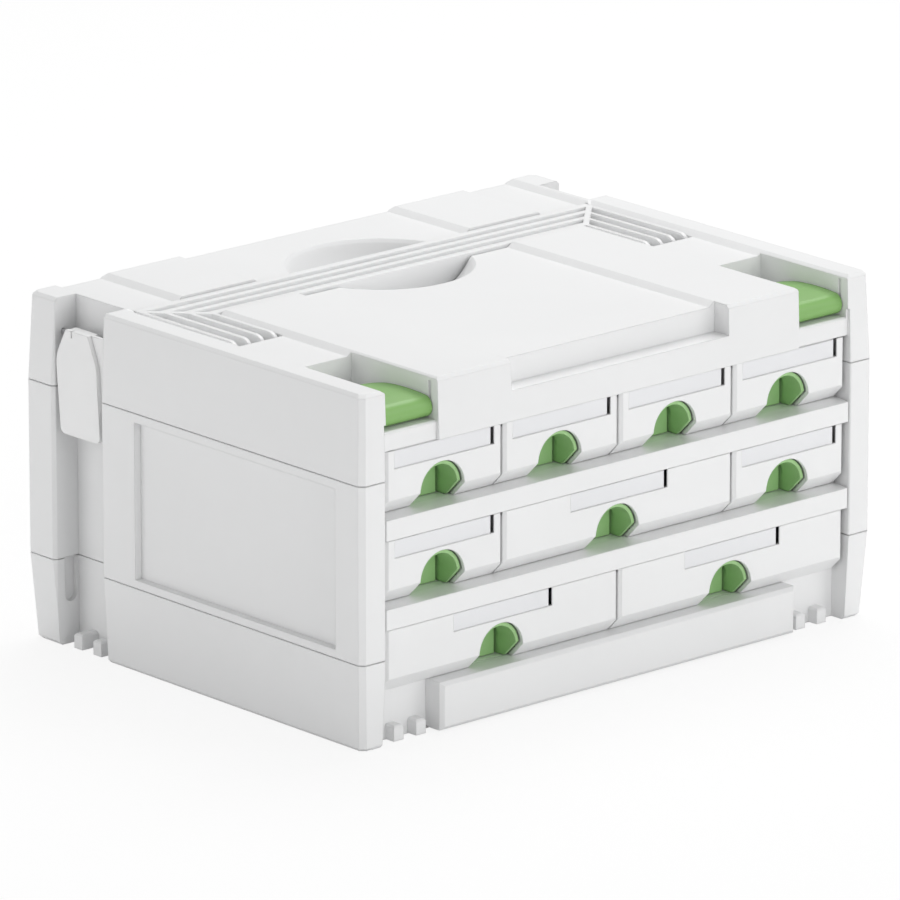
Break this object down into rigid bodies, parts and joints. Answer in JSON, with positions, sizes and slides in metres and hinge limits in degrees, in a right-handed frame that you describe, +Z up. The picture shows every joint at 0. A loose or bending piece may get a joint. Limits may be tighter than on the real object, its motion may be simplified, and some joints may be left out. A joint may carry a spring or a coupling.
{
  "type": "drawer organizer case",
  "caption": "Stackable drawer case with rows of slide-out trays, green finger-cup catches, fold-flat carrying bail and coupling latches at the front corners and sides",
  "frame": {"origin": "middle of the case's footprint, on the plane that it stands on", "axes": "+X is the case's right seen from the front, -Y its drawer front, +Z up"},
  "size_m": [0.396, 0.296, 0.21],
  "materials": {
    "case_plastic": "fine-grained light grey moulded plastic",
    "shelf_plastic": "smooth light grey moulded plastic",
    "bail_plastic": "fine-grained light grey moulded plastic",
    "side_latch_plastic": "smooth white moulded plastic",
    "green_plastic": "satin green moulded plastic",
    "drawer_plastic": "satin off-white moulded plastic",
    "card": "plain pale card",
    "steel": "bright zinc-plated steel"
  },
  "bodies": {
    "case": {"base": "case_plastic", "floor_panel": "shelf_plastic", "housing": "case_plastic", "cover": "case_plastic", "lower_shelf": "shelf_plastic", "upper_shelf": "shelf_plastic", "bail_pins": "steel", "front_latch_pins": "steel", "side_latch_pins": "steel", "tie_screws": "steel"},
    "bail": {"carry_bail": "bail_plastic"},
    "front_latch_l": {"front_latch_left": "green_plastic"},
    "front_latch_r": {"front_latch_right": "green_plastic"},
    "side_latch_l": {"side_latch_left": "side_latch_plastic"},
    "side_latch_r": {"side_latch_right": "side_latch_plastic"},
    "drawer_bottom_1": {"drawer_bottom_1": "drawer_plastic", "label_card_bottom_1": "card"},
    "catch_bottom_1": {"catch_bottom_1": "green_plastic"},
    "drawer_bottom_2": {"drawer_bottom_2": "drawer_plastic", "label_card_bottom_2": "card"},
    "catch_bottom_2": {"catch_bottom_2": "green_plastic"},
    "drawer_middle_1": {"drawer_middle_1": "drawer_plastic", "label_card_middle_1": "card"},
    "catch_middle_1": {"catch_middle_1": "green_plastic"},
    "drawer_middle_2": {"drawer_middle_2": "drawer_plastic", "label_card_middle_2": "card"},
    "catch_middle_2": {"catch_middle_2": "green_plastic"},
    "drawer_middle_3": {"drawer_middle_3": "drawer_plastic", "label_card_middle_3": "card"},
    "catch_middle_3": {"catch_middle_3": "green_plastic"},
    "drawer_top_1": {"drawer_top_1": "drawer_plastic", "label_card_top_1": "card"},
    "catch_top_1": {"catch_top_1": "green_plastic"},
    "drawer_top_2": {"drawer_top_2": "drawer_plastic", "label_card_top_2": "card"},
    "catch_top_2": {"catch_top_2": "green_plastic"},
    "drawer_top_3": {"drawer_top_3": "drawer_plastic", "label_card_top_3": "card"},
    "catch_top_3": {"catch_top_3": "green_plastic"},
    "drawer_top_4": {"drawer_top_4": "drawer_plastic", "label_card_top_4": "card"},
    "catch_top_4": {"catch_top_4": "green_plastic"}
  },
  "joints": [
    {"name": "bail_swing", "type": "hinge", "parent": "case", "child": "bail", "pos_m": [0, -0.0075, 0.2009], "axis": [1, 0, 0], "range_deg": [0, 90]},
    {"name": "front_latch_l_turn", "type": "hinge", "parent": "case", "child": "front_latch_l", "pos_m": [-0.15905, -0.136, 0.192], "axis": [1, 0, 0], "range_deg": [0, 100]},
    {"name": "side_latch_l_turn", "type": "hinge", "parent": "case", "child": "side_latch_l", "pos_m": [-0.19, 0.1005, 0.1895], "axis": [0, 1, 0], "range_deg": [0, 150]},
    {"name": "front_latch_r_turn", "type": "hinge", "parent": "case", "child": "front_latch_r", "pos_m": [0.15905, -0.136, 0.192], "axis": [1, 0, 0], "range_deg": [0, 100]},
    {"name": "side_latch_r_turn", "type": "hinge", "parent": "case", "child": "side_latch_r", "pos_m": [0.19, 0.1005, 0.1895], "axis": [0, -1, 0], "range_deg": [0, 150]},
    {"name": "drawer_bottom_1_slide", "type": "slide", "parent": "case", "child": "drawer_bottom_1", "axis": [0, -1, 0], "range_m": [0, 0.2]},
    {"name": "catch_bottom_1_lift", "type": "slide", "parent": "drawer_bottom_1", "child": "catch_bottom_1", "axis": [0, 0, 1], "range_m": [0, 0.003]},
    {"name": "drawer_bottom_2_slide", "type": "slide", "parent": "case", "child": "drawer_bottom_2", "axis": [0, -1, 0], "range_m": [0, 0.2]},
    {"name": "catch_bottom_2_lift", "type": "slide", "parent": "drawer_bottom_2", "child": "catch_bottom_2", "axis": [0, 0, 1], "range_m": [0, 0.003]},
    {"name": "drawer_middle_1_slide", "type": "slide", "parent": "case", "child": "drawer_middle_1", "axis": [0, -1, 0], "range_m": [0, 0.2]},
    {"name": "catch_middle_1_lift", "type": "slide", "parent": "drawer_middle_1", "child": "catch_middle_1", "axis": [0, 0, 1], "range_m": [0, 0.003]},
    {"name": "drawer_middle_2_slide", "type": "slide", "parent": "case", "child": "drawer_middle_2", "axis": [0, -1, 0], "range_m": [0, 0.2]},
    {"name": "catch_middle_2_lift", "type": "slide", "parent": "drawer_middle_2", "child": "catch_middle_2", "axis": [0, 0, 1], "range_m": [0, 0.003]},
    {"name": "drawer_middle_3_slide", "type": "slide", "parent": "case", "child": "drawer_middle_3", "axis": [0, -1, 0], "range_m": [0, 0.2]},
    {"name": "catch_middle_3_lift", "type": "slide", "parent": "drawer_middle_3", "child": "catch_middle_3", "axis": [0, 0, 1], "range_m": [0, 0.003]},
    {"name": "drawer_top_1_slide", "type": "slide", "parent": "case", "child": "drawer_top_1", "axis": [0, -1, 0], "range_m": [0, 0.2]},
    {"name": "catch_top_1_lift", "type": "slide", "parent": "drawer_top_1", "child": "catch_top_1", "axis": [0, 0, 1], "range_m": [0, 0.003]},
    {"name": "drawer_top_2_slide", "type": "slide", "parent": "case", "child": "drawer_top_2", "axis": [0, -1, 0], "range_m": [0, 0.2]},
    {"name": "catch_top_2_lift", "type": "slide", "parent": "drawer_top_2", "child": "catch_top_2", "axis": [0, 0, 1], "range_m": [0, 0.003]},
    {"name": "drawer_top_3_slide", "type": "slide", "parent": "case", "child": "drawer_top_3", "axis": [0, -1, 0], "range_m": [0, 0.2]},
    {"name": "catch_top_3_lift", "type": "slide", "parent": "drawer_top_3", "child": "catch_top_3", "axis": [0, 0, 1], "range_m": [0, 0.003]},
    {"name": "drawer_top_4_slide", "type": "slide", "parent": "case", "child": "drawer_top_4", "axis": [0, -1, 0], "range_m": [0, 0.2]},
    {"name": "catch_top_4_lift", "type": "slide", "parent": "drawer_top_4", "child": "catch_top_4", "axis": [0, 0, 1], "range_m": [0, 0.003]}
  ]
}
